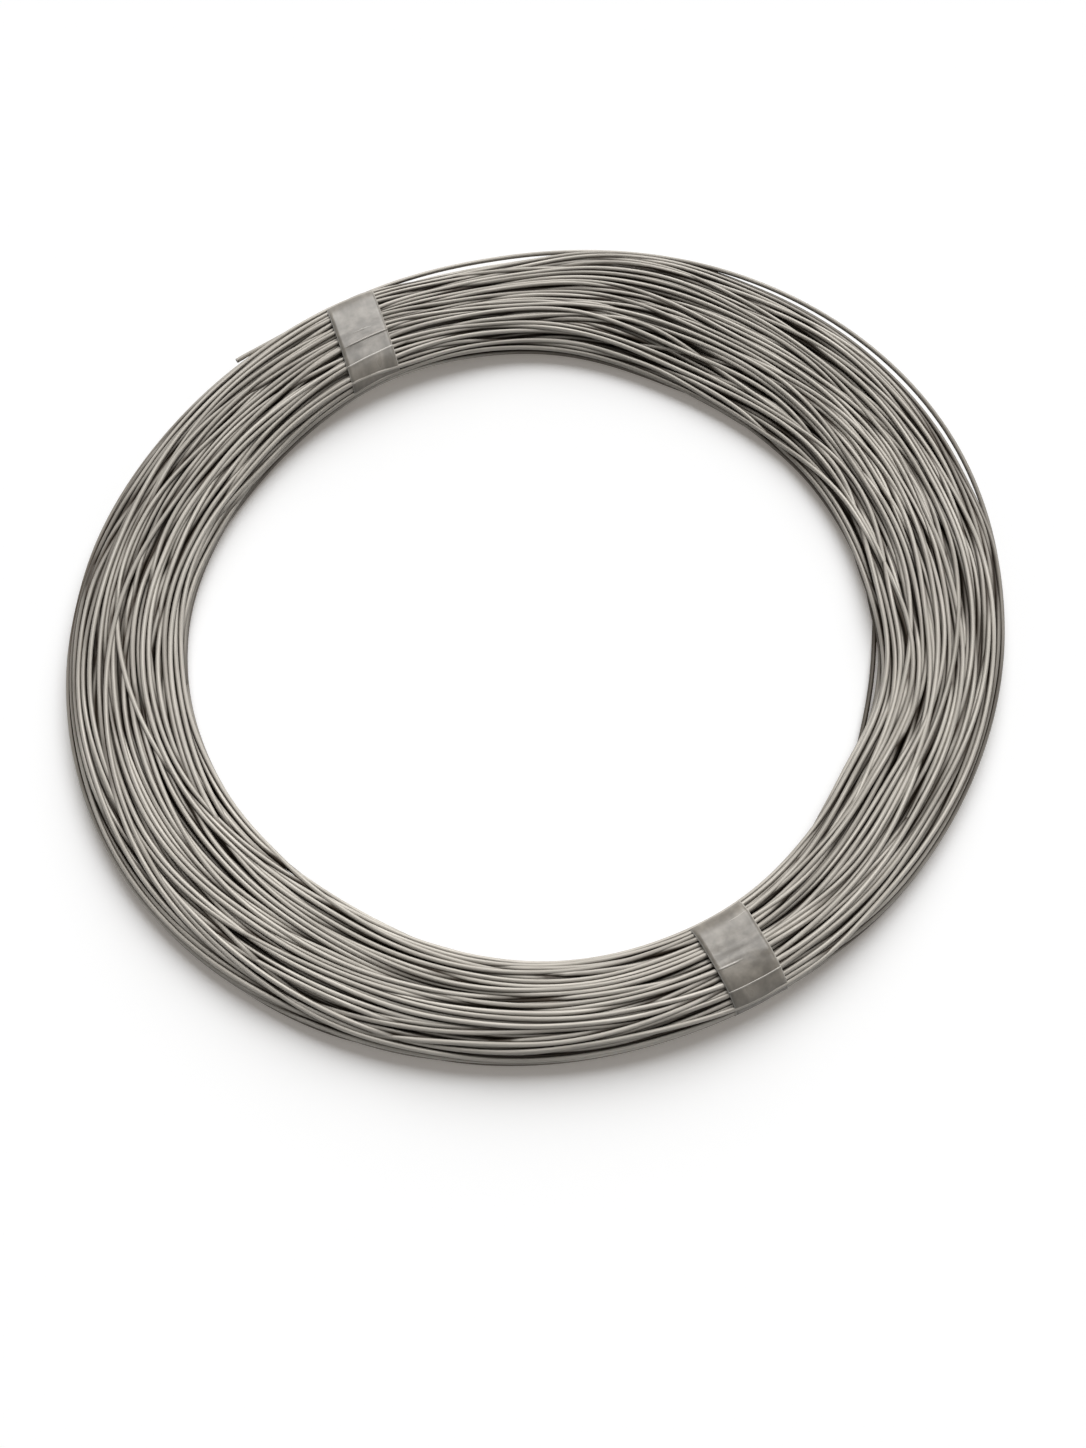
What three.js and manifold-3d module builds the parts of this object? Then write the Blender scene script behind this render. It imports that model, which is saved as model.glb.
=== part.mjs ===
// A coil of tension wire: one long round wire wound into a flat ring and held by two bands of tape.
// Millimetres, +Z up. The coil lies on the plane z = 0 with the middle of its plan at the origin.
import * as THREE from "three";
import { mergeVertices } from "three/addons/utils/BufferGeometryUtils.js";
import Module from "manifold-3d";

const wasm = await Module();
wasm.setup();

// Wire
const wire_diameter = 2.2;
const turn_gap = 0.6; // mean gap between neighbouring turns on the outside of the bundle
const groove_depth = 0.8; // how deep the valley between two turns is cut

// Bundle, where the tape pulls it together
const coil_radius = 181; // middle of the bundle
const tied_width = 43;
const tied_height = 19;
const roundness = 2.6; // of the bundle's section: 2 is an ellipse, more is squarer

// Bundle, where it lies loose
const loose_height = 13.5; // where it is widest
const rest_width = 7; // of the strip that is flattened by lying on the floor
const settling = 0.8; // of the loose turns onto the floor: 0 leaves the section as the tape holds it
const settling_length = 90; // of wire, from the tape to where they have settled
// How far the turns lie outside the tied width at each twelfth of a turn, anticlockwise from +X:
// first towards the bore, then away from it.
const slack = [
  [10, 9],
  [11.5, 20],
  [16, 18.5],
  [10, 7],
  [10.5, -2],
  [8, 1.5],
  [0.5, 9.5],
  [-0.5, 15],
  [1.5, 10.5],
  [-3, 3.5],
  [-1, 0],
  [8, 1.5],
];

// Tape
const tape_width = 25;
const tape_thickness = 0.5; // several layers, wound on each other
const clearance = 0.3; // between the tape and the turns
const front_tie = 297; // degrees anticlockwise from +X
const back_tie = 119;
const back_skew = 11; // degrees that the back band lies askew, with its outer side clockwise
const rise_length = 45; // the coil lifts off the floor onto the tape over this length of wire

// Free end of the wire
const free_end_length = 34; // from where it leaves the bundle's surface to its cut end
const free_end_from_tie = 6; // along the wire, from the edge of the tape
const free_end_stand_off = 2.7; // of the cut end's middle from the bundle
const free_end_rise = 2; // above the middle of the tied section

// Fineness of the meshes
const coil_steps = 72;
const outline_points = 240;
const tape_outline_points = 72;
const tape_steps = 3;
const free_end_sides = 10;
const free_end_steps = 10;
const free_end_points = 5; // that its curve passes through
const weld = 1e-3; // points closer than this are one

const radians = THREE.MathUtils.degToRad;
const slack_curve = new THREE.CatmullRomCurve3(
  slack.map(([inward, outward]) => new THREE.Vector3(inward, outward, 0)),
  true,
  "catmullrom",
  0.5,
);
const most_slack = Math.max(...slack.map(([inward, outward]) => inward + outward));
const tape_lift = tape_thickness + clearance;

// How the bundle lies at an azimuth: its bore-side and outer radius, and its height as a share of the
// tied height.
function bundle_at(azimuth) {
  const turn = azimuth / (2 * Math.PI);
  const { x: inward, y: outward } = slack_curve.getPoint(turn - Math.floor(turn));
  const inner = coil_radius - tied_width / 2 - inward;
  const outer = coil_radius + tied_width / 2 + outward;
  const looseness = THREE.MathUtils.clamp((inward + outward) / most_slack, 0, 1);
  const height_share = 1 - looseness * (1 - loose_height / tied_height);
  return { inner, outer, height_share };
}

// How far an azimuth is past the nearer band of tape, along the wire.
function past_tape(azimuth) {
  const along = [front_tie, back_tie].map((tie) => {
    const away = Math.abs(azimuth - radians(tie)) % (2 * Math.PI);
    return Math.min(away, 2 * Math.PI - away) * coil_radius;
  });
  return Math.min(...along) - tape_width / 2 - wire_diameter;
}

// How far the coil's underside is above the floor: it lies on the tape, and sinks to the floor away from it.
function lift_at(azimuth) {
  return tape_lift * (1 - THREE.MathUtils.smoothstep(past_tape(azimuth), 0, rise_length));
}

// The height in the bundle of a turn that is at a level, from 0 to 1, of the tied section: away from the tape
// the turns settle, which makes the bundle's underside broad and its widest part lower.
function height_in_bundle(level, azimuth) {
  const settled = settling * THREE.MathUtils.smoothstep(past_tape(azimuth), 0, settling_length);
  return level ** (1 + settled) * tied_height * bundle_at(azimuth).height_share;
}

// The place in the coil of a point of the tied section: across the bundle and up from its middle.
// What lies outside the turns, such as tape, keeps its own thickness where the bundle spreads.
function place(across, up, azimuth) {
  const { inner, outer } = bundle_at(azimuth);
  const inside = THREE.MathUtils.clamp(across, -tied_width / 2, tied_width / 2);
  const within = THREE.MathUtils.clamp(up, -tied_height / 2, tied_height / 2);
  const radius = (inner + outer) / 2 + (inside * (outer - inner)) / tied_width + across - inside;
  const level = within / tied_height + 0.5;
  const height = height_in_bundle(level, azimuth) + up - within + lift_at(azimuth);
  return new THREE.Vector3(radius * Math.cos(azimuth), radius * Math.sin(azimuth), height);
}

// The rounded outline of the tied bundle, grown by a distance, with a flat strip underneath.
function bundle_outline(grow) {
  const fine = [];
  for (let i = 0; i < outline_points; i += 1) {
    const angle = (2 * Math.PI * i) / outline_points;
    const reach = (half, part) => (half + grow) * Math.sign(part) * Math.abs(part) ** (2 / roundness);
    const x = reach(tied_width / 2, Math.cos(angle));
    const y = reach(tied_height / 2, Math.sin(angle));
    fine.push(new THREE.Vector2(x, is_rest_strip(x, y) ? -tied_height / 2 - grow : y));
  }
  return new THREE.Shape(fine);
}

function is_rest_strip(x, y) {
  return y < 0 && Math.abs(x) <= rest_width / 2;
}

// The bundle's section with a groove between each two turns that lie on its surface.
function grooved_section() {
  const outline = bundle_outline(0);
  const turns = Math.round(outline.getLength() / (wire_diameter + turn_gap));
  const points = outline.getSpacedPoints(2 * turns).slice(0, -1);
  return points.map((point, i) => {
    const before = points[(i + points.length - 1) % points.length];
    const after = points[(i + 1) % points.length];
    const inwards = new THREE.Vector2(before.y - after.y, after.x - before.x).normalize();
    const grooved = point.clone().addScaledVector(inwards, i % 2 ? groove_depth : 0);
    return new THREE.Vector2(grooved.x, is_rest_strip(point.x, point.y) ? -tied_height / 2 : grooved.y);
  });
}

function move_points(geometry, where) {
  const points = geometry.getAttribute("position");
  for (let i = 0; i < points.count; i += 1) {
    const moved = where(new THREE.Vector3().fromBufferAttribute(points, i));
    points.setXYZ(i, moved.x, moved.y, moved.z);
  }
  return geometry;
}

// The wound turns as one turned ring, spread to the way the bundle lies.
function turns_geometry() {
  const profile = grooved_section().map((p) => new THREE.Vector2(coil_radius + p.x, p.y));
  profile.push(profile[0].clone());
  const ring = new THREE.LatheGeometry(profile, coil_steps).rotateX(Math.PI / 2);
  return move_points(ring, (p) => place(Math.hypot(p.x, p.y) - coil_radius, p.z, Math.atan2(p.y, p.x)));
}

// The last length of wire, which springs off the outside of the bundle past the back tape.
function free_end_geometry() {
  const start = radians(back_tie) + (tape_width / 2 + free_end_from_tie) / coil_radius;
  const points = [];
  for (let i = 0; i < free_end_points; i += 1) {
    const share = i / (free_end_points - 1);
    const azimuth = start + (share * free_end_length) / coil_radius;
    const stand_off = (free_end_stand_off + wire_diameter) * share ** 2 - wire_diameter;
    points.push(place(tied_width / 2 + stand_off, free_end_rise, azimuth));
  }
  const section = new THREE.Shape().absarc(0, 0, wire_diameter / 2, 0, 2 * Math.PI);
  return new THREE.ExtrudeGeometry(section, {
    curveSegments: free_end_sides,
    steps: free_end_steps,
    extrudePath: new THREE.CatmullRomCurve3(points),
  });
}

// A band of tape wound round the bundle at a tie, with parallel edges.
function tape_geometry(tie, skew = 0) {
  const loop = bundle_outline(tape_lift).getSpacedPoints(tape_outline_points).slice(0, -1);
  const hole = bundle_outline(clearance).getSpacedPoints(tape_outline_points).slice(0, -1);
  const section = new THREE.Shape(loop);
  section.holes.push(new THREE.Path(hole));
  const band = new THREE.ExtrudeGeometry(section, {
    depth: tape_width,
    steps: tape_steps,
    bevelEnabled: false,
  });
  const lean = Math.tan(radians(skew));
  const azimuth_of = (p) => radians(tie) - (p.z - tape_width / 2 + p.x * lean) / (coil_radius + p.x);
  return move_points(band, (p) => place(p.x, p.y, azimuth_of(p)));
}

function solid(geometry) {
  const bare = geometry.clone();
  bare.deleteAttribute("normal");
  bare.deleteAttribute("uv");
  const merged = mergeVertices(bare, weld);
  const vertProperties = merged.getAttribute("position").array;
  return new wasm.Manifold(
    new wasm.Mesh({ numProp: 3, vertProperties, triVerts: new Uint32Array(merged.index.array) }),
  );
}

function geometry_of(manifold) {
  const { vertProperties, triVerts } = manifold.getMesh();
  const geometry = new THREE.BufferGeometry();
  geometry.setAttribute("position", new THREE.BufferAttribute(vertProperties, 3));
  geometry.setIndex(new THREE.BufferAttribute(triVerts, 1));
  geometry.computeVertexNormals();
  return geometry;
}

const galvanised_steel = new THREE.MeshStandardMaterial({ color: 0x9a968f, roughness: 0.5, metalness: 0.8 });
const grey_tape = new THREE.MeshStandardMaterial({ color: 0x84807a, roughness: 0.35, metalness: 0 });

function named_mesh(name, geometry, material) {
  const mesh = new THREE.Mesh(geometry, material);
  mesh.name = name;
  return mesh;
}

const coil = geometry_of(solid(turns_geometry()).add(solid(free_end_geometry())));
const part = new THREE.Group();
part.add(
  named_mesh("wire_coil", coil, galvanised_steel),
  named_mesh("front_tape_band", tape_geometry(front_tie), grey_tape),
  named_mesh("back_tape_band", tape_geometry(back_tie, back_skew), grey_tape),
);

// The middle of the coil's plan is the origin.
const middle = new THREE.Box3().setFromObject(part).getCenter(new THREE.Vector3());
part.children.forEach((piece) => piece.position.set(-middle.x, -middle.y, 0));

export default part;
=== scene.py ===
import math

import bmesh
import bpy
import numpy as np
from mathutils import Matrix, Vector, noise


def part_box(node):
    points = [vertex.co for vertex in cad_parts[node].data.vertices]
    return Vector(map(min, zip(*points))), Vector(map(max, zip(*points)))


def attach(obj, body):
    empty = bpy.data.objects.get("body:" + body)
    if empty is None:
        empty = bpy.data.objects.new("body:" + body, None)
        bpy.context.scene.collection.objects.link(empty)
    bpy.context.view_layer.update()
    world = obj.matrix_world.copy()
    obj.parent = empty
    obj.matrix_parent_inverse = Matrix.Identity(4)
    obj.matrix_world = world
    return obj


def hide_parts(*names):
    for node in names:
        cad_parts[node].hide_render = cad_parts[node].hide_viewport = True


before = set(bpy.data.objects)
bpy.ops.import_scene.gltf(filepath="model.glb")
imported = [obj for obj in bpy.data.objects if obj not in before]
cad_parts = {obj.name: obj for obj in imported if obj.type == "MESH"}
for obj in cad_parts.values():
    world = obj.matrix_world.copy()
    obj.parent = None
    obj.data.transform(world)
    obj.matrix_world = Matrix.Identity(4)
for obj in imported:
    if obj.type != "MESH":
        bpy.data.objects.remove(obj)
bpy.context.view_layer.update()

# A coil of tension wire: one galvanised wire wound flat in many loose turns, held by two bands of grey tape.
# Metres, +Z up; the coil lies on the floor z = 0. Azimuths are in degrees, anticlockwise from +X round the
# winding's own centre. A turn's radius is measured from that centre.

MM = 0.001

# Wire
WIRE = 2.2 * MM  # diameter
TURNS = 132
FIRST_AZIMUTH = 136.0  # where each turn starts to be counted: just past the wire's free end
WIRE_SIDES = 12
WIRE_PIECES = 5  # the wire's mesh is made in this many lengths, which meet under the front tape

# Bundle: as the frame's coil lies
COIL_RADIUS = 181 * MM
TIED_WIDTH = 43 * MM
TIED_HEIGHT = 19 * MM
LOOSE_HEIGHT = 13.5 * MM
ROUNDNESS = 2.6
SETTLING = 0.8  # of the loose turns onto the floor
SETTLING_LENGTH = 90 * MM
RISE_LENGTH = 45 * MM  # of wire, over which the coil lifts off the floor onto the tape
# How far the turns lie outside the tied width at each twelfth of a turn: towards the bore, away from it
SPREAD = MM * np.array([
    (10, 9), (11.5, 20), (16, 18.5), (10, 7), (10.5, -2), (8, 1.5),
    (0.5, 9.5), (-0.5, 15), (1.5, 10.5), (-3, 3.5), (-1, 0), (8, 1.5),
])
MOST_SPREAD = SPREAD.sum(1).max()

# Tape
TAPE_WIDTH = 25 * MM
FRONT_TIE = 297.0
BACK_TIE = 119.0
BACK_SKEW = 11.0  # degrees that the back band lies askew, with its outer side clockwise
TAPE_LIFT = 0.8 * MM  # of the coil's underside, where it lies on the tape

# Winding, as the wire is laid: lengths of it are in turns, and sideways moves are shares of about half the
# bundle's width
SEED = 7
PLACES = 120  # round the coil, where the turns' places are worked out
TURNS_ACROSS = 18  # that a layer takes before the winding turns back
WAVES = (  # in each turn, two of each kind, and how far they swing out
    (0.31, 0.09), (0.73, 0.08), (1.37, 0.06), (2.21, 0.045), (4.3, 0.03), (7.1, 0.026), (10.7, 0.015),
)
WAVE_COUNTS = (0.8, 1.25)  # least and most of them, as a share of the number above
WAVE_SIZES = (0.6, 1.2)  # the same for how far they swing
SIDE_STEPS = 4  # in each turn, where it slips past its neighbours
SIDE_STEP_LENGTHS = (0.03, 0.12)
SIDE_STEP_SLOPE = 1.1  # of a usual one
SIDE_STEP_STAYS = (0.1, 0.9)  # before the turn comes back
EVENNESS = 0.6  # of the turns' spacing across the bundle
EDGE_EVENING = 6  # places either way, over which the bundle's edges are evened
SECTION_POINTS = 401  # across the bundle, where the room for turns is measured
FLAT_ENDS = 0.08  # of the section's height, that its two sides keep
TOP_RELIEF = 2.0 * MM  # most that an uppermost turn lies below the bundle's top
RELIEF_KNOTS = 8  # in each turn
DEEP_RELIEF_RARITY = 1.5  # above 1, most turns lie near the top

# Winding, as the turns settle on each other in rounds
DROPPING_ROUNDS = 60
SPREADING_ROUNDS = 120
FINAL_ROUNDS = 30  # of them, in which the turns may touch
PARTINGS = 3  # in each round
PARTED_SHARE = 0.5  # of the way apart, in each parting
LOOSENESS = 1.14  # of the pile before the final rounds: how far apart the turns keep, in diameters
NEIGHBOURS = 14  # a turn is kept clear of this many next to it
MOST_LIFT = 0.8 * MM  # of one turn over another that it crosses, in each parting
PULL = 0.03  # back to where a turn was laid, in each round
# From first to last: how many places either way a turn is evened over, and by what share in each round
STIFFNESS = ((4, 0.5), (3, 0.4), (2, 0.4), (2, 0.25), (1, 0.4), (1, 0.3))
PILE_TOP = 97  # in each hundred turns, that lie no higher than the bundle's top once it is pressed
PILE_REACH = 4 * MM  # of the turns beside one that make the top of the pile there
MOST_RISE = 1.7  # of the pile as it is loosened: how many times as high it gets
UPPER_PART = 0.35  # of the bundle's height, above which the loosened turns spring up
DRIFT = 0.03 * MM  # up or down, in each round
SECTION_MARGIN = 0.3 * MM  # by which the rounded section is wider than the room, either side
WIDEST = 0.985  # of the section's half width, past which it gets no lower
LEAST_ROOM = 0.3 * WIRE  # for a turn to lie higher or lower

# Openness to the air, which sets the wire's painted shade: darker where the turns hide each other and near
# the floor
SURFACE_DIRECTIONS = 16  # round the wire, in which it is worked out
WIDEST_TILT = 3  # of the lines that leave the surface, in steps of those directions
NEAR_FLOOR = 11 * MM  # turns lower than this get more painted shade
LEAST_OPEN = 0.08  # of a turn on the floor, as a share of what it would be higher up: painted shade near the floor

# Loose turns that stand off the bundle: from azimuth, to azimuth, clear gap
OUTER_GAPS = [(20, 42, 2.6 * MM), (48, 55, 1.8 * MM), (58, 63, 1.6 * MM), (92, 107, 3.7 * MM)]
INNER_GAPS = [(341, 356, 1.6 * MM)]
LOOSE_TURN_HEIGHT = 7.0 * MM  # of the outer one, between the bands that hold it
LOOSE_TURN_INSET = 0.7 * MM
LOOSE_TURN_EASE = 40  # degrees in which it rises past the gaps
INSET = 0.15 * MM  # that the turns keep inside the frame's coil
LOOSE_INNER_TURN = 16
LOOSE_INNER_STRETCH = (335, 2, 20)  # from azimuth, to azimuth, and the degrees in which it comes there
SLANTING_TURN = TURNS - 3  # runs slantwise over the others
SLANT = (186, 211), (189 * MM, 175.5 * MM)  # between these azimuths, and at these radii there
SLANT_STRETCH = (178, 221, 30)  # that it is held to that line
OUTERMOST_FROM = 1.2  # turns before its end, the wire starts to move to the outside
OUTERMOST_AT = 0.6  # turns before its end, it is there

# Free end of the wire
FREE_END_FROM_TAPE = 6 * MM
FREE_END_LENGTH = 34 * MM
FREE_END_START = BACK_TIE + math.degrees((TAPE_WIDTH / 2 + FREE_END_FROM_TAPE) / COIL_RADIUS)
FREE_END_ANGLE = math.degrees(FREE_END_LENGTH / COIL_RADIUS)
FREE_END_STAND_OFF = 2.7 * MM
FREE_END_POINTS = 2  # of the wire's line, past where its last turn is complete


def ease(share):
    """0 to 1 with soft ends, for a share from 0 to 1."""
    share = np.clip(share, 0, 1)
    return share * share * (3 - 2 * share)


def away_from(azimuth, tie):
    """Length of wire between an azimuth and a tie."""
    return np.radians(np.abs((azimuth - tie + 180) % 360 - 180)) * COIL_RADIUS


def between(azimuth, start, stop, soft=8):
    """1 from start to stop, anticlockwise, easing to 0 over soft degrees outside them."""
    width = (stop - start) % 360
    past = (azimuth - start) % 360
    past = np.where(past > 180 + width / 2, past - 360, past)
    return ease((past + soft) / soft) * ease((width + soft - past) / soft)


def evened(values, reach):
    """Each value as the mean of the stretch of wire that reaches so many places either way."""
    wire = values.reshape(-1)
    padded = np.concatenate([np.full(reach + 1, wire[0]), wire, np.full(reach, wire[-1])])
    total = np.cumsum(padded)
    size = 2 * reach + 1
    return ((total[size:] - total[:-size]) / size).reshape(values.shape)


def evened_round(values, reach):
    """The same for one value at each place round the coil."""
    return evened(np.tile(values, 3), reach)[len(values):2 * len(values)]


# ------------------------------------------------------------------------------ how the bundle lies


def spread_at(azimuth):
    """A smooth closed curve through the spreads."""
    at = azimuth / 360 % 1 * len(SPREAD)
    whole = np.floor(at).astype(int)
    part = (at - whole)[:, None]
    before, here, after, beyond = (SPREAD[(whole + k) % len(SPREAD)] for k in (-1, 0, 1, 2))
    bend = 2 * before - 5 * here + 4 * after - beyond
    twist = 3 * (here - after) + beyond - before
    return here + 0.5 * part * (after - before + part * (bend + part * twist))


def bundle_edges(azimuth):
    """Radii of the bundle's bore side and its outside."""
    spread = spread_at(azimuth)
    inner = COIL_RADIUS - TIED_WIDTH / 2 - spread[:, 0]
    outer = COIL_RADIUS + TIED_WIDTH / 2 + spread[:, 1]
    return inner, outer


class Bundle:
    """The room that the middles of the turns have, at each place round the coil."""

    def __init__(self):
        self.azimuth = (FIRST_AZIMUTH + np.arange(PLACES) * 360 / PLACES) % 360
        edges = bundle_edges(self.azimuth)
        self.inner = edges[0] + WIRE / 2 + INSET
        self.outer = edges[1] - WIRE / 2 - INSET
        past_tape = np.minimum(away_from(self.azimuth, FRONT_TIE), away_from(self.azimuth, BACK_TIE))
        past_tape = past_tape - TAPE_WIDTH / 2 - WIRE
        looseness = np.clip((edges[1] - edges[0] - TIED_WIDTH) / MOST_SPREAD, 0, 1)
        self.height = TIED_HEIGHT + (LOOSE_HEIGHT - TIED_HEIGHT) * looseness
        self.lift = TAPE_LIFT * (1 - ease(past_tape / RISE_LENGTH))
        self.settled = SETTLING * ease(past_tape / SETTLING_LENGTH)

    def lowest_and_highest(self, radius, inmost, outmost):
        """Heights between which a turn lies at a radius, for a rounded section from inmost to outmost."""
        half_width = (outmost - inmost) / 2 + SECTION_MARGIN
        aside = np.clip(np.abs(radius - (inmost + outmost) / 2) / half_width, 0, WIDEST)
        reach = (1 - aside ** ROUNDNESS) ** (1 / ROUNDNESS) / 2
        room = self.height - WIRE
        lowest, highest = (room * level ** (1 + self.settled) for level in (0.5 - reach, 0.5 + reach))
        floor = self.lift + WIRE / 2
        return floor + lowest, floor + np.maximum(highest, lowest + LEAST_ROOM)


# ------------------------------------------------------------------------------------- winding


def wandering(rng):
    """How far outwards each turn runs, as a plain number: sweeps from side to side as the wire is laid,
    slow waves, and side steps where it slips past its neighbours."""
    turn = np.arange(TURNS * PLACES) / PLACES
    out = 2 * np.abs(turn / (2 * TURNS_ACROSS) % 1 - 0.5)
    for waves, size in WAVES:
        for _ in range(2):
            phase = waves * rng.uniform(*WAVE_COUNTS) * turn + rng.uniform()
            out += size * rng.uniform(*WAVE_SIZES) * np.sin(2 * np.pi * phase)
    for _ in range(SIDE_STEPS * TURNS):
        start = rng.uniform(0, TURNS)
        length = rng.uniform(*SIDE_STEP_LENGTHS)
        size = rng.normal(0, SIDE_STEP_SLOPE) * length
        stay = rng.uniform(*SIDE_STEP_STAYS)
        out += size * (ease((turn - start) / length) - ease((turn - start - stay) / (2 * length)))
    return evened(out.reshape(TURNS, PLACES), 1)


def laid_radii(bundle, rng):
    """The radius that each turn is laid at, with as many turns across each part of the bundle's width as
    its rounded section holds."""
    out = wandering(rng)
    rank = np.interp(out, np.sort(out, axis=None), np.linspace(-1, 1, out.size))
    order = np.argsort(np.argsort(out, 0), 0) * 2 / (TURNS - 1) - 1
    rank = evened(rank + EVENNESS * (order - rank), 1)
    across = np.linspace(-1, 1, SECTION_POINTS)
    room = np.cumsum((1 - np.abs(across) ** ROUNDNESS) ** (1 / ROUNDNESS) + FLAT_ENDS)
    room = (room - room[0]) / (room[-1] - room[0]) * 2 - 1
    aside = np.interp(rank, room, across)
    lowest, highest = radius_limits(bundle)
    radius = evened((lowest + highest) / 2 + (highest - lowest) / 2 * aside, 1)
    ordered = np.sort(radius, 0)
    inmost = evened_round(ordered[1], EDGE_EVENING)
    outmost = evened_round(ordered[-2], EDGE_EVENING)
    radius = lowest + (radius - inmost) * (highest - lowest) / (outmost - inmost)
    return with_turns_that_stand_out(bundle, np.clip(radius, lowest, highest))


def with_turns_that_stand_out(bundle, radius):
    """The radii, with the wire's end brought to the outside, one turn to the bore and one aslant."""
    turn = np.arange(TURNS * PLACES).reshape(TURNS, PLACES) / PLACES
    outermost = ease((turn - TURNS + OUTERMOST_FROM) / (OUTERMOST_FROM - OUTERMOST_AT))
    radius += outermost * (bundle.outer - radius)
    innermost = between(bundle.azimuth, *LOOSE_INNER_STRETCH)
    radius[LOOSE_INNER_TURN] += innermost * (bundle.inner - radius[LOOSE_INNER_TURN])
    (start, stop), (outer, inner) = SLANT
    slant = outer + (inner - outer) * ((bundle.azimuth - start + 180) % 360 - 180) / (stop - start)
    slanting = between(bundle.azimuth, *SLANT_STRETCH)
    radius[SLANTING_TURN] += slanting * (slant - radius[SLANTING_TURN])
    return radius


def radius_limits(bundle):
    """Radii that each turn keeps between: all but the loose turns leave a gap beside those."""
    inner_gap, outer_gap = (
        np.max([(gap + WIRE) * between(bundle.azimuth, start, stop) for start, stop, gap in gaps], axis=0)
        for gaps in (INNER_GAPS, OUTER_GAPS)
    )
    lowest = np.tile(bundle.inner + inner_gap, (TURNS, 1))
    highest = np.tile(bundle.outer - outer_gap, (TURNS, 1))
    lowest[LOOSE_INNER_TURN] = bundle.inner
    highest[-1] = bundle.outer
    return lowest, highest


def uneven_relief(rng):
    """How far below the bundle's top each turn stays when it is uppermost."""
    knots = rng.uniform(0, 1, RELIEF_KNOTS * TURNS) ** DEEP_RELIEF_RARITY * TOP_RELIEF
    at = np.linspace(0, len(knots) - 1, TURNS * PLACES)
    return evened(np.interp(at, np.arange(len(knots)), knots).reshape(TURNS, PLACES), 3)


def dropped_heights(bundle, radius):
    """Height of each turn when it is dropped on the ones before it, pressed down to the bundle's height."""
    floor = bundle.lift + WIRE / 2
    height = np.tile(floor, (TURNS, 1))
    for k in range(1, TURNS):
        aside = np.abs(radius[:k] - radius[k])
        on_top = height[:k] + np.sqrt(np.maximum(WIRE ** 2 - aside ** 2, 0))
        height[k] = np.maximum(floor, np.where(aside < WIRE, on_top, 0).max(0))
    top = np.percentile(height, PILE_TOP, axis=0)
    pressed = np.minimum(1, (bundle.height - WIRE) / np.maximum(top - floor, WIRE))
    return evened(evened(floor + (height - floor) * pressed, 2), 2)


def crossings(radius):
    """For each pair of turns, the places near which they swap sides."""
    side = np.sign(radius[:, None, :] - radius[None, :, :]).astype(np.int8)
    swaps = np.zeros(side.shape, bool)
    for step in (-2, -1, 1, 2):
        swaps |= side != np.roll(side, step, 2)
    return swaps


def parted(radius, height, swaps, clear):
    """Moves turns apart whose middles are less than clear apart. Neighbours move straight apart; where two
    cross, the upper one passes over, or the one that was laid later where they are level."""
    order = np.argsort(radius, 0)
    places = np.arange(PLACES)[None, :]
    out = np.take_along_axis(radius, order, 0)
    up = np.take_along_axis(height, order, 0)
    move_out = np.zeros_like(out)
    move_up = np.zeros_like(up)
    for k in range(1, NEIGHBOURS + 1):
        aside = out[k:] - out[:-k]
        above = up[k:] - up[:-k]
        apart = np.hypot(aside, above) + 1e-9
        push = np.where(apart < clear, (clear - apart) / apart / 2, 0)
        later = np.where(order[k:] > order[:-k], 1.0, -1.0)
        over = np.where(np.abs(above) > WIRE / 2, np.sign(above), later)
        needed = np.sqrt(np.maximum(WIRE ** 2 - aside ** 2, 0))
        lift = np.clip(needed - over * above, 0, MOST_LIFT) / 2 * over * (aside < WIRE)
        crossing = swaps[order[k:], order[:-k], places]
        by_out = np.where(crossing, 0, push * aside)
        by_up = np.where(crossing, lift, push * above)
        move_out[k:] += by_out
        move_out[:-k] -= by_out
        move_up[k:] += by_up
        move_up[:-k] -= by_up
    radius = radius.copy()
    height = height.copy()
    np.put_along_axis(radius, order, out + PARTED_SHARE * move_out, 0)
    np.put_along_axis(height, order, up + PARTED_SHARE * move_up, 0)
    return radius, height


def risen(bundle, radius, height, inmost, outmost):
    """The heights when the pile is loosened until its top turns lie at the top of the bundle."""
    floor = bundle.lift + WIRE / 2
    highest = bundle.lowest_and_highest(radius, inmost, outmost)[1]
    near = np.abs(radius[:, None] - radius[None]) < PILE_REACH
    top = np.where(near, height[None], 0).max(1)
    rise = np.clip((highest - floor) / np.maximum(top - floor, WIRE), 1, MOST_RISE)
    return floor + (height - floor) * evened(rise, 3)


def settled(bundle, laid, height, relief):
    """The turns after they have slid off and pressed on each other, each as stiff as wire: less and less
    evened along its length. First they drop. Then the pile is loosened, and its upper part springs up, each
    turn as far as its relief below the bundle's top."""
    swaps = crossings(laid)
    lowest, highest = radius_limits(bundle)
    radius = laid.copy()
    rounds = DROPPING_ROUNDS + SPREADING_ROUNDS
    for k in range(rounds):
        if k == DROPPING_ROUNDS:
            height = risen(bundle, radius, height, lowest, highest)
        upper = (height - bundle.lift > UPPER_PART * bundle.height) & (k >= DROPPING_ROUNDS)
        height = height + np.where(upper, DRIFT, -DRIFT)
        radius = radius + PULL * (laid - radius)
        clear = WIRE * (LOOSENESS if DROPPING_ROUNDS <= k < rounds - FINAL_ROUNDS else 1)
        for _ in range(PARTINGS):
            radius, height = parted(radius, height, swaps, clear)
            radius = np.clip(radius, lowest, highest)
            bottom, top = bundle.lowest_and_highest(radius, lowest, highest)
            height = np.clip(height, bottom, np.maximum(bottom, top - relief))
        reach, share = STIFFNESS[k * len(STIFFNESS) // rounds]
        radius = radius + share * (evened(radius, reach) - radius)
        height = height + share * (evened(height, reach) - height)
    return evened(radius, 1), evened(height, 1)


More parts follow.
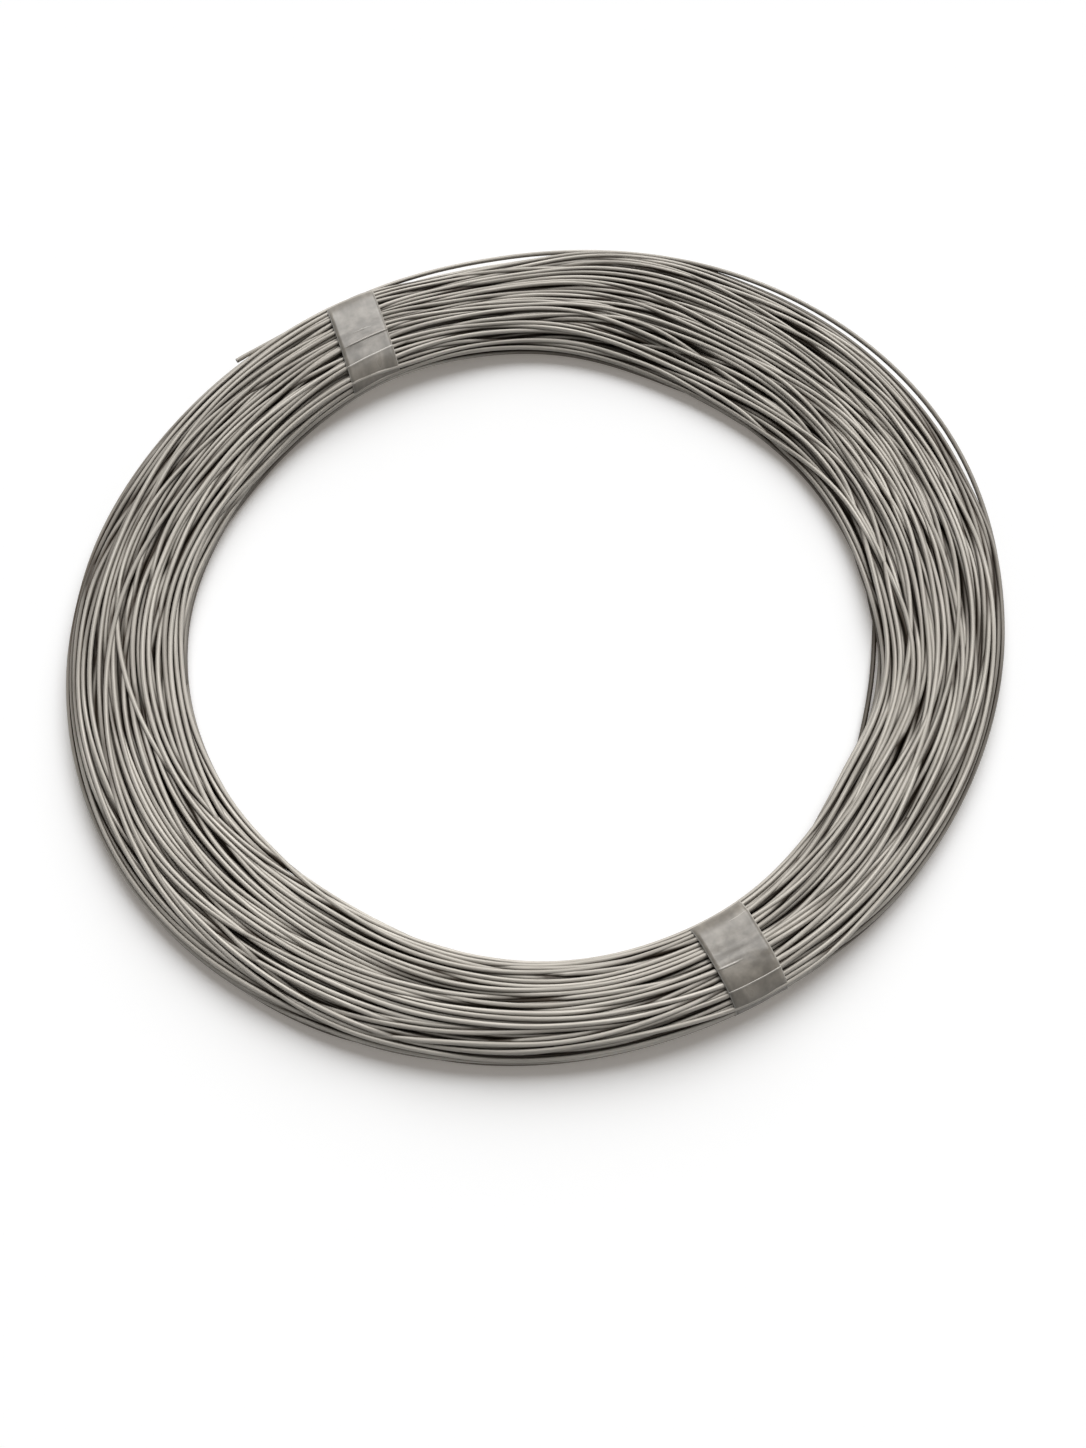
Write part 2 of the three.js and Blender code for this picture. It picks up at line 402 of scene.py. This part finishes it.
def shade_openness(radius, height):
    """How open to the air the wire's surface is, from 0 to 1, at each point of the wire and in each of
    SURFACE_DIRECTIONS directions round it: the share of the lines that leave it and miss the other turns,
    made less near the floor. The wire's colour is darkened by it as painted shade."""
    angle = np.arange(SURFACE_DIRECTIONS) * 2 * np.pi / SURFACE_DIRECTIONS
    facing = np.stack([np.cos(angle), np.sin(angle)], -1)
    tilts = np.arange(-WIDEST_TILT, WIDEST_TILT + 1)
    weights = np.cos(tilts * 2 * np.pi / SURFACE_DIRECTIONS)
    leaving = facing[(np.arange(SURFACE_DIRECTIONS)[:, None] + tilts) % SURFACE_DIRECTIONS]
    itself = np.eye(TURNS, dtype=bool)[:, None, None, :]
    found = np.zeros((TURNS, PLACES, SURFACE_DIRECTIONS))
    for place in range(PLACES):
        turns = np.stack([radius[:, place], height[:, place]], -1)
        surface = turns[:, None, :] + WIRE / 2 * facing
        to_turn = turns[None, None, None, :, :] - surface[:, :, None, None, :]
        ahead = (to_turn * leaving[None, :, :, None, :]).sum(-1)
        outwards, upwards = leaving[None, :, :, None, 0], leaving[None, :, :, None, 1]
        aside = to_turn[..., 0] * upwards - to_turn[..., 1] * outwards
        blocked = (ahead > 0) & (np.abs(aside) < WIRE / 2) & ~itself
        found[:, place] = (~blocked.any(-1) * weights).sum(-1) / weights.sum()
    # painted shade near the floor: turns close to it count as less open
    off_floor = ease((height - WIRE / 2) / NEAR_FLOOR)[:, :, None]
    return found * (LEAST_OPEN + (1 - LEAST_OPEN) * off_floor)


def doubled(values):
    """A smooth line through twice as many points."""
    padded = np.concatenate([values[:1], values, values[-1:]])
    even = (padded[:-2] + 6 * padded[1:-1] + padded[2:]) / 8
    odd = (padded[1:-1] + padded[2:]) / 2
    return np.stack([even, odd], 1).reshape(-1)[:-1]


def with_loose_turn(bundle, radius, height):
    """The turns, with the last one held up by the bands where it stands off the others."""
    held_up = between(bundle.azimuth, OUTER_GAPS[0][0], OUTER_GAPS[-1][1], LOOSE_TURN_EASE)
    radius = radius.copy()
    height = height.copy()
    radius[-1] -= held_up * LOOSE_TURN_INSET
    height[-1] += held_up * np.maximum(LOOSE_TURN_HEIGHT - height[-1], 0)
    return radius, height


def wound_wire():
    """The middle line of the wire: azimuth, radius and height of each point, from its hidden start under
    the front tape to its free end."""
    rng = np.random.default_rng(SEED)
    bundle = Bundle()
    laid = laid_radii(bundle, rng)
    radius, height = settled(bundle, laid, dropped_heights(bundle, laid), uneven_relief(rng))
    radius, height = with_loose_turn(bundle, radius, height)
    # how open each point is, which sets the wire's painted shade
    unshaded = shade_openness(radius, height).reshape(-1, SURFACE_DIRECTIONS)
    unshaded = np.stack([unshaded[:-1], (unshaded[:-1] + unshaded[1:]) / 2], 1).reshape(-1, SURFACE_DIRECTIONS)
    wound = with_free_end(doubled(radius.reshape(-1)), doubled(height.reshape(-1)), unshaded)
    azimuth = wound[0]
    return tuple(values[azimuth >= FRONT_TIE] for values in wound)


def with_free_end(radius, height, unshaded):
    """The wire with its azimuths, carried on past its last turn and sprung off the bundle at its end."""
    for _ in range(FREE_END_POINTS):
        radius = np.append(radius, 2 * radius[-1] - radius[-2])
    past = len(radius) - len(height)
    height = np.concatenate([height, np.repeat(height[-1:], past)])
    unshaded = np.concatenate([unshaded, np.repeat(unshaded[-1:], past + 1, 0)])
    azimuth = FIRST_AZIMUTH + np.arange(len(radius)) * 180 / PLACES
    sprung = np.clip((azimuth - 360 * TURNS - FREE_END_START) / FREE_END_ANGLE, 0, 1)
    radius = radius + sprung ** 2 * (FREE_END_STAND_OFF + WIRE / 2)
    # the sprung free end is kept fully open, so it gets no painted shade
    return azimuth, radius, height, np.maximum(unshaded, sprung[:, None])


def winding_centre():
    """The winding's centre in plan, found from the middle of the box of the frame's coil."""
    azimuth = np.arange(0, 360, 5.0)
    outer = bundle_edges(azimuth)[1]
    turn = np.radians(azimuth)
    low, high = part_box("wire_coil")
    x = outer * np.cos(turn)
    y = outer * np.sin(turn)
    return (low.x + high.x - x.min() - x.max()) / 2, (low.y + high.y - y.min() - y.max()) / 2


CENTRE_X, CENTRE_Y = winding_centre()


def in_plan(azimuth, radius, height):
    """Points in the part's frame."""
    turn = np.radians(azimuth)
    return np.stack([
        CENTRE_X + radius * np.cos(turn),
        CENTRE_Y + radius * np.sin(turn),
        height + np.zeros_like(turn),
    ], -1)


# ---------------------------------------------------------------------------------- wire pieces


def lengths_along(points):
    """Length of wire from the first point to each."""
    return np.concatenate([[0], np.cumsum(np.linalg.norm(np.diff(points, axis=0), axis=1))])


def wire_length_mesh(name, points, start, unshaded):
    """A length of round wire along points, with its ends closed. start is the length of wire before it."""
    line = bpy.data.curves.new(name, "CURVE")
    line.dimensions = "3D"
    line.bevel_depth = WIRE / 2
    line.bevel_resolution = (WIRE_SIDES - 4) // 2
    line.use_fill_caps = True
    spline = line.splines.new("POLY")
    spline.points.add(len(points) - 1)
    spline.points.foreach_set("co", np.column_stack([points, np.ones(len(points))]).ravel())
    drawn = bpy.data.objects.new(name + "_line", line)
    bpy.context.scene.collection.objects.link(drawn)
    bpy.context.view_layer.update()
    mesh = bpy.data.meshes.new_from_object(drawn.evaluated_get(bpy.context.evaluated_depsgraph_get()))
    bpy.data.objects.remove(drawn)
    mesh.name = name
    mark_along_wire(mesh, points, start, unshaded)
    mesh.shade_smooth()
    return mesh


def mark_along_wire(mesh, points, start, unshaded):
    """Gives each vertex its place on the wire's surface, round it and along it, and how open it is there,
    which sets its painted shade.
    """
    corners = np.empty(len(mesh.vertices) * 3)
    mesh.vertices.foreach_get("co", corners)
    corners = corners.reshape(-1, 3)
    ring = np.minimum(np.arange(len(corners)) // WIRE_SIDES, len(points) - 1)
    along = start + lengths_along(points)
    off = corners - points[ring]
    outwards = points[ring, :2] - np.array([CENTRE_X, CENTRE_Y])
    outwards = outwards / np.linalg.norm(outwards, axis=1)[:, None]
    place = np.column_stack([(off[:, :2] * outwards).sum(1), off[:, 2], along[ring]])
    mark = mesh.attributes.new("along_wire", "FLOAT_VECTOR", "POINT")
    mark.data.foreach_set("vector", place.ravel())
    # openness at each vertex, for the wire's painted shade
    at = np.arctan2(place[:, 1], place[:, 0]) / (2 * np.pi) % 1 * SURFACE_DIRECTIONS
    low = at.astype(int) % SURFACE_DIRECTIONS
    part = at % 1
    unshaded_share = unshaded[ring, low] * (1 - part) + unshaded[ring, (low + 1) % SURFACE_DIRECTIONS] * part
    mark = mesh.attributes.new("unshaded_share", "FLOAT", "POINT")
    mark.data.foreach_set("value", unshaded_share)


def make_wire(azimuth, radius, height, unshaded, material):
    """The wound wire, in lengths that end at whole turns."""
    points = in_plan(azimuth, radius, height)
    ends = np.linspace(0, TURNS - 1, WIRE_PIECES + 1).round().astype(int) * 2 * PLACES
    ends[-1] = len(points) - 1
    along = lengths_along(points)
    for k in range(WIRE_PIECES):
        name = f"wire_turns_{k + 1}"
        length = slice(ends[k], ends[k + 1] + 1)
        mesh = wire_length_mesh(name, points[length], along[ends[k]], unshaded[length])
        piece = new_piece(name, mesh, material)
        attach(piece, "root")
        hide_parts("wire_coil")


def new_piece(name, mesh, material):
    piece = bpy.data.objects.new(name, mesh)
    bpy.context.scene.collection.objects.link(piece)
    mesh.materials.append(material)
    return piece


# ---------------------------------------------------------------------------------- tape pieces

TAPE_FILM = 0.14 * MM  # thickness of the tape itself
TAPE_LAYER = 0.16 * MM  # that each wrap adds, so that it clears the one below
TAPE_CLEARANCE = 0.1 * MM  # of the first wrap's middle above the turns
TAPE_WRAPS = 2.3
WRAP_LENGTH = 110 * MM  # of tape in a wrap, about
WRAP_STEPS = 300  # of the mesh in a wrap
TAPE_ROWS = 13  # of points across the tape
END_RISE = 0.25 * MM  # of the tape's raised end
END_RISE_LENGTH = 0.9 * MM
# over which the tape's raised end has a painted highlight
END_HIGHLIGHT_LENGTH = 0.45 * MM
# Each crease is an angle round the section, the stretch of the tape's width that it takes and its height
FRONT_CREASES = [(70, 14 * MM, 25 * MM, 0.4 * MM)]
BACK_CREASES = [(118, 3 * MM, 26 * MM, 0.6 * MM), (88, 9 * MM, 18 * MM, 0.25 * MM)]
CREASE_WIDTH = 0.55 * MM
CREASE_FADING = 3 * MM  # of a crease, at both its ends
# painted highlight along a crease's ridge, at its most
CREASE_HIGHLIGHT = 0.9
UNEVENNESS = [(1.2, 0.35 * MM), (3.3, 0.25 * MM)]  # of the wound tape: how close its bumps are, and how high
DEEPEST_DENT = 1 / 3  # of that height
HULL_ROWS = 15  # across the tape, where its tight way round the turns is worked out
HULL_REACH = 1.5  # of those rows, in tape widths
HULL_DIRECTIONS = 180
LEAST_FACING = 0.05  # of a direction to another's, to be held off by it
EVENED_ACROSS = 6  # times, because tape is stiffer than a thin film
EVENED_ROUND = 24
PLACING_ROUNDS = 4  # in which the tape's place round the coil and its distance from the turns meet


def turns_at(wound, at):
    """Radius and height of each turn at an azimuth."""
    azimuth, radius, height, _ = wound
    places = (at + 360 * np.arange(TURNS + 1) - azimuth[0]) / (azimuth[1] - azimuth[0])
    places = places[(places >= 0) & (places < len(azimuth) - 1)]
    index = np.arange(len(azimuth))
    return np.column_stack([np.interp(places, index, radius), np.interp(places, index, height)])


def hull_of_turns(turns, middle):
    """How far from the middle a tight band lies round the turns, in each of the directions round it."""
    angle = np.arange(HULL_DIRECTIONS) * 2 * np.pi / HULL_DIRECTIONS
    faces = np.stack([np.cos(angle), np.sin(angle)])
    reach = ((turns - middle) @ faces).max(0) + WIRE / 2
    facing = np.cos(angle[:, None] - angle[None, :])
    return np.where(facing > LEAST_FACING, reach[None, :] / np.maximum(facing, LEAST_FACING), 1).min(1)


def band_round_turns(wound, tie):
    """The middle of the turns' section at a tie, and a function that gives how far from it a band lies, for
    azimuths near the tie and angles round the section."""
    turns = turns_at(wound, tie)
    middle = (turns.min(0) + turns.max(0)) / 2
    reach = HULL_REACH * math.degrees(TAPE_WIDTH / 2 / COIL_RADIUS)
    rows = np.linspace(tie - reach, tie + reach, HULL_ROWS)
    hulls = np.array([hull_of_turns(turns_at(wound, row), middle) for row in rows])
    for _ in range(EVENED_ACROSS):
        padded = np.concatenate([hulls[:1], hulls, hulls[-1:]])
        hulls = (padded[:-2] + 2 * padded[1:-1] + padded[2:]) / 4
    for _ in range(EVENED_ROUND):
        hulls = (np.roll(hulls, 1, 1) + 2 * hulls + np.roll(hulls, -1, 1)) / 4

    def distance(azimuth, angle):
        row = np.clip((azimuth - rows[0]) / (rows[1] - rows[0]), 0, HULL_ROWS - 1.001)
        column = angle / (2 * np.pi) % 1 * HULL_DIRECTIONS
        low_row = row.astype(int)
        low_column = column.astype(int) % HULL_DIRECTIONS
        found = 0
        for k, row_share in ((low_row, 1 - row % 1), (low_row + 1, row % 1)):
            for m, share in ((low_column, 1 - column % 1), (low_column + 1, column % 1)):
                found = found + row_share * share * hulls[k, m % HULL_DIRECTIONS]
        return found

    return middle, distance


def tape_relief(angle, across, left, creases, seed):
    """How far the wound tape lies from the turns, and its painted highlight along its raised end and its
    creases, for angles round the section, places across its width from 0 to 1, and angles left to its end."""
    to_end = left * TIED_WIDTH / 2
    lift = TAPE_CLEARANCE + TAPE_LAYER * (TAPE_WRAPS - left / (2 * np.pi))
    lift += END_RISE * np.exp(-(to_end / END_RISE_LENGTH) ** 2)
    highlight = np.exp(-(to_end / END_HIGHLIGHT_LENGTH) ** 2)
    for waves, size in UNEVENNESS:
        bumps = [
            noise.noise(Vector((waves * math.cos(a), waves * math.sin(a), waves * b + seed)))
            for a, b in zip(angle, across)
        ]
        lift += np.maximum(np.array(bumps) * size, -size * DEEPEST_DENT)
    for at, start, stop, rise in creases:
        beside = ((angle - math.radians(at) + np.pi) % (2 * np.pi) - np.pi) * TIED_WIDTH / 2
        place = across * TAPE_WIDTH
        shown = ease((place - start) / CREASE_FADING) * ease((stop - place) / CREASE_FADING)
        ridge = shown * np.exp(-(beside / CREASE_WIDTH) ** 2)
        lift += rise * ridge
        highlight = np.maximum(highlight, CREASE_HIGHLIGHT * ridge)
    return np.where(np.sin(angle) < 0, np.minimum(lift, TAPE_LIFT - TAPE_FILM), lift), highlight


def make_tape(name, node, wound, material, tie, skew, end_angle, way, creases, seed):
    """A band of tape wound round the bundle: one long strip, each wrap on the last, with its end raised.
    Angles are in degrees round the section, from its outer side over its top; way is 1 for a strip that
    runs the same way, and -1 for one that runs the other way."""
    middle, hull = band_round_turns(wound, tie)
    sheet = bmesh.new()
    bmesh.ops.create_grid(sheet, x_segments=int(TAPE_WRAPS * WRAP_STEPS), y_segments=TAPE_ROWS - 1, size=1)
    corners = np.array([corner.co for corner in sheet.verts])
    along, across = (corners[:, :2].T + 1) / 2
    left = (1 - along) * TAPE_WRAPS * 2 * np.pi
    angle = math.radians(end_angle) - way * left
    lift, highlight = tape_relief(angle, across, left, creases, seed)
    azimuth = np.full(len(corners), float(tie))
    lean = math.tan(math.radians(skew))
    for _ in range(PLACING_ROUNDS):
        reach = hull(azimuth, angle) + lift
        radius = middle[0] + reach * np.cos(angle)
        azimuth = tie - np.degrees(((across - 0.5) * TAPE_WIDTH + (radius - COIL_RADIUS) * lean) / radius)
    placed = in_plan(azimuth, radius, middle[1] + reach * np.sin(angle))
    mark = sheet.verts.layers.float_vector.new("on_tape")
    for k, corner in enumerate(sheet.verts):
        corner.co = placed[k]
        # the third value is the painted highlight of the tape's end and creases
        corner[mark] = (along[k] * TAPE_WRAPS * WRAP_LENGTH, across[k] * TAPE_WIDTH, highlight[k])
    bmesh.ops.recalc_face_normals(sheet, faces=sheet.faces)
    mesh = bpy.data.meshes.new(name)
    sheet.to_mesh(mesh)
    sheet.free()
    mesh.shade_smooth()
    piece = new_piece(name, mesh, material)
    thick = piece.modifiers.new("tape_thickness", "SOLIDIFY")
    thick.thickness = TAPE_FILM
    thick.offset = 0
    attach(piece, "root")
    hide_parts(node)


# ------------------------------------------------------------------------------------ materials


WIRE_DARK = (0.222, 0.202, 0.172, 1)
WIRE_PALE = (0.605, 0.567, 0.508, 1)
PAINTED_SHADE_COLOUR = (0.08, 0.057, 0.035, 1)  # painted shade: what the wire's colour is multiplied by, where the turns hide each other and near the floor
PAINTED_SHADE_RAMP = (0.06, 0.68)  # openness below which the painted shade is full, and above which there is none
STREAKS = (1400, 1400, 28)  # in a metre: across the wire both ways, and along it
PATCHES = (60, 60, 2.2)  # the same
TAPE_DARK = (0.137, 0.122, 0.100, 1)
TAPE_PALE = (0.262, 0.235, 0.197, 1)
TAPE_HIGHLIGHT = (0.62, 0.59, 0.54, 1)  # painted highlight along its edges, its end and its creases
TAPE_HIGHLIGHT_EDGE = 0.6 * MM  # of its width that has the painted highlight
CLOUDS = 95  # in a metre
GRAIN = 420


def node_adder(tree):
    """A function that adds a node to a tree, with its values and links."""

    def add(kind, links=(), **values):
        node = tree.nodes.new(kind)
        for key, value in values.items():
            setattr(node, key, value)
        for socket, source in dict(links).items():
            if isinstance(source, bpy.types.NodeSocket):
                tree.links.new(source, node.inputs[socket])
            else:
                node.inputs[socket].default_value = source
        return node

    return add


def new_material(name):
    """A material with its node tree, its shader, and a function that adds a node."""
    material = bpy.data.materials.new(name)
    material.use_nodes = True
    tree = material.node_tree
    return material, tree, tree.nodes["Principled BSDF"], node_adder(tree)


def noise_pattern(add, vector, scale, detail, roughness):
    return add("ShaderNodeTexNoise", {
        "Vector": vector, "Scale": scale, "Detail": detail, "Roughness": roughness,
    }).outputs["Fac"]


def two_colours(add, value, places, colours):
    """A colour that goes from one to the other as a value goes from place to place."""
    ramp = add("ShaderNodeValToRGB", {"Fac": value})
    for element, place, colour in zip(ramp.color_ramp.elements, places, colours):
        element.position = place
        element.color = colour
    return ramp.outputs["Color"]


def galvanised_wire():
    """Dull zinc with fine streaks drawn along the wire, slow patches, and painted shade where the turns hide
    each other and near the floor.
    """
    material, tree, shader, add = new_material("galvanised_wire")
    place = add("ShaderNodeAttribute", attribute_name="along_wire").outputs["Vector"]
    drawn = add("ShaderNodeMapping", {"Vector": place, "Scale": STREAKS}).outputs["Vector"]
    streaks = noise_pattern(add, drawn, 1.0, 4.0, 0.6)
    slow = add("ShaderNodeMapping", {"Vector": place, "Scale": PATCHES}).outputs["Vector"]
    patches = noise_pattern(add, slow, 1.0, 2.0, 0.5)
    tone = add("ShaderNodeMix", {"Factor": 0.55, 2: streaks, 3: patches}, data_type="FLOAT")
    colours = two_colours(add, tone.outputs[0], (0.3, 0.7), (WIRE_DARK, WIRE_PALE))
    # painted shade: the colour is darkened by how open the surface is
    unshaded = add("ShaderNodeAttribute", attribute_name="unshaded_share").outputs["Fac"]
    painted_shade = two_colours(add, unshaded, PAINTED_SHADE_RAMP, (PAINTED_SHADE_COLOUR, (1, 1, 1, 1)))
    shaded_colours = add("ShaderNodeMix", {
        "Factor": 1.0, 6: colours, 7: painted_shade,
    }, data_type="RGBA", blend_type="MULTIPLY")
    tree.links.new(shaded_colours.outputs[2], shader.inputs["Base Color"])
    rough = add("ShaderNodeMapRange", {
        "Value": streaks, "From Min": 0.3, "From Max": 0.7, "To Min": 0.62, "To Max": 0.48,
    })
    tree.links.new(rough.outputs["Result"], shader.inputs["Roughness"])
    bump = add("ShaderNodeBump", {"Height": streaks, "Strength": 0.25, "Distance": 0.12 * MM})
    tree.links.new(bump.outputs["Normal"], shader.inputs["Normal"])
    shader.inputs["Metallic"].default_value = 0.22
    return material


def grey_tape():
    """Soft, slightly glossy tape, clouded, with painted highlights along its edges, its end and its creases.
    """
    material, tree, shader, add = new_material("grey_tape")
    place = add("ShaderNodeAttribute", attribute_name="on_tape").outputs["Vector"]
    flat = add("ShaderNodeMapping", {"Vector": place, "Scale": (1, 1, 0)}).outputs["Vector"]
    cloud = noise_pattern(add, flat, CLOUDS, 3.0, 0.55)
    colours = two_colours(add, cloud, (0.4, 0.64), (TAPE_DARK, TAPE_PALE))
    parts = add("ShaderNodeSeparateXYZ", {"Vector": place})
    off_middle = add("ShaderNodeMath", {0: parts.outputs["Y"], 1: TAPE_WIDTH / 2}, operation="SUBTRACT")
    off_middle = add("ShaderNodeMath", {0: off_middle.outputs[0]}, operation="ABSOLUTE")
    # painted highlight along both edges, and along the end and creases from on_tape's third value
    edge_highlight = add("ShaderNodeMapRange", {
        "Value": off_middle.outputs[0], "From Min": TAPE_WIDTH / 2 - TAPE_HIGHLIGHT_EDGE, "From Max": TAPE_WIDTH / 2,
        "To Min": 0.0, "To Max": 0.6,
    })
    highlight_share = add("ShaderNodeMath", {0: edge_highlight.outputs["Result"], 1: parts.outputs["Z"]}, operation="MAXIMUM")
    highlighted = add("ShaderNodeMix", {"Factor": highlight_share.outputs[0], 6: colours, 7: TAPE_HIGHLIGHT}, data_type="RGBA")
    tree.links.new(highlighted.outputs[2], shader.inputs["Base Color"])
    rough = add("ShaderNodeMapRange", {
        "Value": cloud, "From Min": 0.3, "From Max": 0.7, "To Min": 0.4, "To Max": 0.26,
    })
    tree.links.new(rough.outputs["Result"], shader.inputs["Roughness"])
    grain = noise_pattern(add, flat, GRAIN, 2.0, 0.5)
    bump = add("ShaderNodeBump", {"Height": grain, "Strength": 0.12, "Distance": 0.2 * MM})
    tree.links.new(bump.outputs["Normal"], shader.inputs["Normal"])
    shader.inputs["Specular IOR Level"].default_value = 0.6
    return material


# --------------------------------------------------------------------------- camera, light, floor


CAMERA_PLACE = (-0.0017, -0.4369, 0.8108)
CAMERA_TURN = (25.47, -0.181, -0.087)  # degrees
FLOOR_SIZE = 8
FLOOR_COLOUR = (0.924, 0.943, 0.963, 1)
FLOOR_GLOW_COLOUR = (1, 0.908, 0.811, 1)  # warm where the shadow leaves it, and white with the lit colour
FLOOR_GLOW = 0.185  # as the camera sees it
WORLD_LIGHT = 0.11
WORLD_SEEN = 1.0
LAMP_PLACE = (0.45, 1.9, 1.8)
LAMP_WIDTH = 60  # degrees, as it is seen from the coil
LAMP_STRENGTH = 3.6


def make_camera():
    camera = bpy.data.objects.new("camera", bpy.data.cameras.new("camera"))
    bpy.context.scene.collection.objects.link(camera)
    camera.data.lens = 50
    camera.data.sensor_width = 36
    camera.data.clip_start = 0.01
    camera.location = CAMERA_PLACE
    camera.rotation_euler = [math.radians(turn) for turn in CAMERA_TURN]
    bpy.context.scene.camera = camera


def seen_directly(add):
    """1 for what the camera sees, straight or in a gloss or through glass, and 0 for light on a surface."""
    path = add("ShaderNodeLightPath")
    seen = path.outputs["Is Camera Ray"]
    for kind in ("Is Glossy Ray", "Is Transmission Ray"):
        either = add("ShaderNodeMath", {0: seen, 1: path.outputs[kind]}, operation="ADD", use_clamp=True)
        seen = either.outputs[0]
    return seen


def make_floor():
    plane = bmesh.new()
    bmesh.ops.create_grid(plane, x_segments=1, y_segments=1, size=FLOOR_SIZE / 2)
    mesh = bpy.data.meshes.new("floor")
    plane.to_mesh(mesh)
    plane.free()
    material, tree, shader, add = new_material("pale_floor")
    shader.inputs["Base Color"].default_value = FLOOR_COLOUR
    shader.inputs["Roughness"].default_value = 0.9
    shader.inputs["Specular IOR Level"].default_value = 0.0
    shader.inputs["Emission Color"].default_value = FLOOR_GLOW_COLOUR
    glow = add("ShaderNodeMath", {0: seen_directly(add), 1: FLOOR_GLOW}, operation="MULTIPLY")
    tree.links.new(glow.outputs[0], shader.inputs["Emission Strength"])
    new_piece("floor", mesh, material)


def make_world():
    """An even white room, dim as light and plain white where it is seen."""
    world = bpy.data.worlds.new("studio")
    bpy.context.scene.world = world
    world.use_nodes = True
    tree = world.node_tree
    add = node_adder(tree)
    ground = tree.nodes["Background"]
    ground.inputs["Color"].default_value = (1, 1, 1, 1)
    level = add("ShaderNodeMapRange", {
        "Value": seen_directly(add), "To Min": WORLD_LIGHT, "To Max": WORLD_SEEN,
    })
    tree.links.new(level.outputs["Result"], ground.inputs["Strength"])


def make_lamp():
    """A wide, even light from behind the coil and its right."""
    lamp = bpy.data.lights.new("softbox", "SUN")
    lamp.angle = math.radians(LAMP_WIDTH)
    lamp.energy = LAMP_STRENGTH
    holder = bpy.data.objects.new("softbox", lamp)
    bpy.context.scene.collection.objects.link(holder)
    holder.location = LAMP_PLACE
    holder.rotation_euler = (-Vector(LAMP_PLACE)).to_track_quat("-Z", "Y").to_euler()


make_camera()
bpy.context.scene.view_settings.view_transform = "Standard"
make_world()
make_lamp()
make_floor()
wound = wound_wire()
make_wire(*wound, galvanised_wire())
tape = grey_tape()
make_tape(
    "front_tape", "front_tape_band", wound, tape,
    tie=FRONT_TIE, skew=0, end_angle=31, way=1, creases=FRONT_CREASES, seed=3.0,
)
make_tape(
    "back_tape", "back_tape_band", wound, tape,
    tie=BACK_TIE, skew=BACK_SKEW, end_angle=150, way=-1, creases=BACK_CREASES, seed=8.0,
)

bpy.context.view_layer.update()
